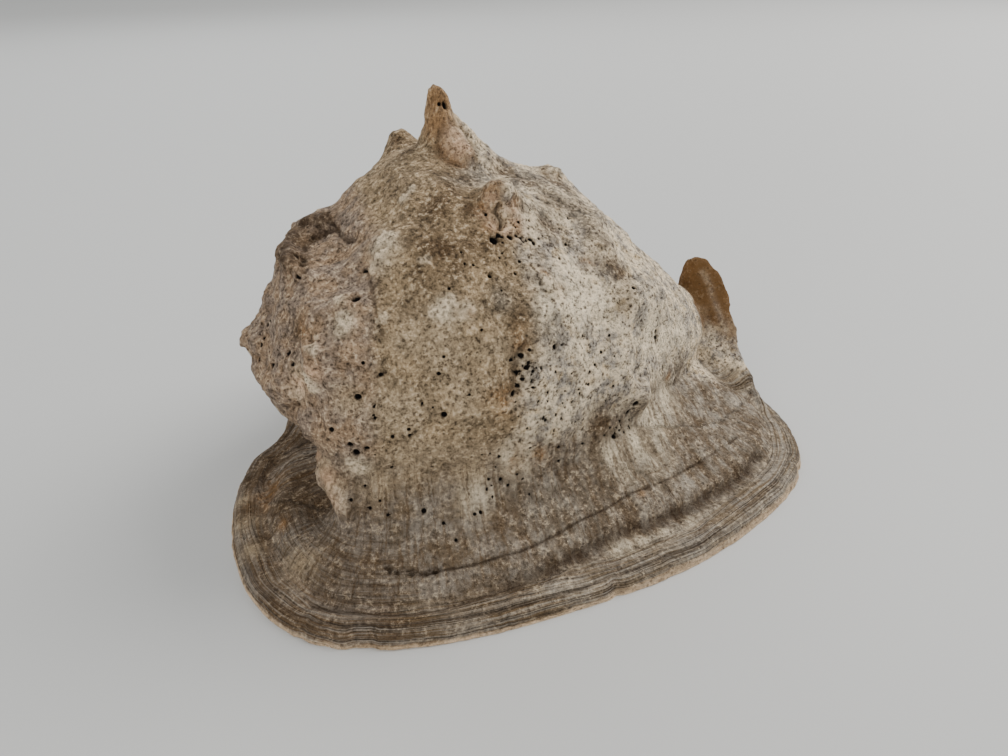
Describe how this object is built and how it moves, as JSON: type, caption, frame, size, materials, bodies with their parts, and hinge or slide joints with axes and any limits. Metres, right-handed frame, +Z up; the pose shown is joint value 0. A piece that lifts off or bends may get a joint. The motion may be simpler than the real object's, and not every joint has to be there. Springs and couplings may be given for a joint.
{
  "type": "horned helmet seashell",
  "caption": "Large weathered horned helmet seashell lying on its flared lip, with knobs, a low spire, a slit aperture and an upturned canal.",
  "frame": {"origin": "middle of the footprint box, on the surface that the rim of the lip and shield rests on", "axes": "+Z up through the back of the shell, +X along the shell from the spire to the canal, -Y towards the flared outer lip"},
  "size_m": [0.2122, 0.1712, 0.1291],
  "materials": {
    "shell": "dry, eroded seashell, mottled tan, cream and grey-brown, with an orange-brown horn and brown canal"
  },
  "bodies": {
    "root": {"helmet_shell": "shell"}
  },
  "joints": []
}
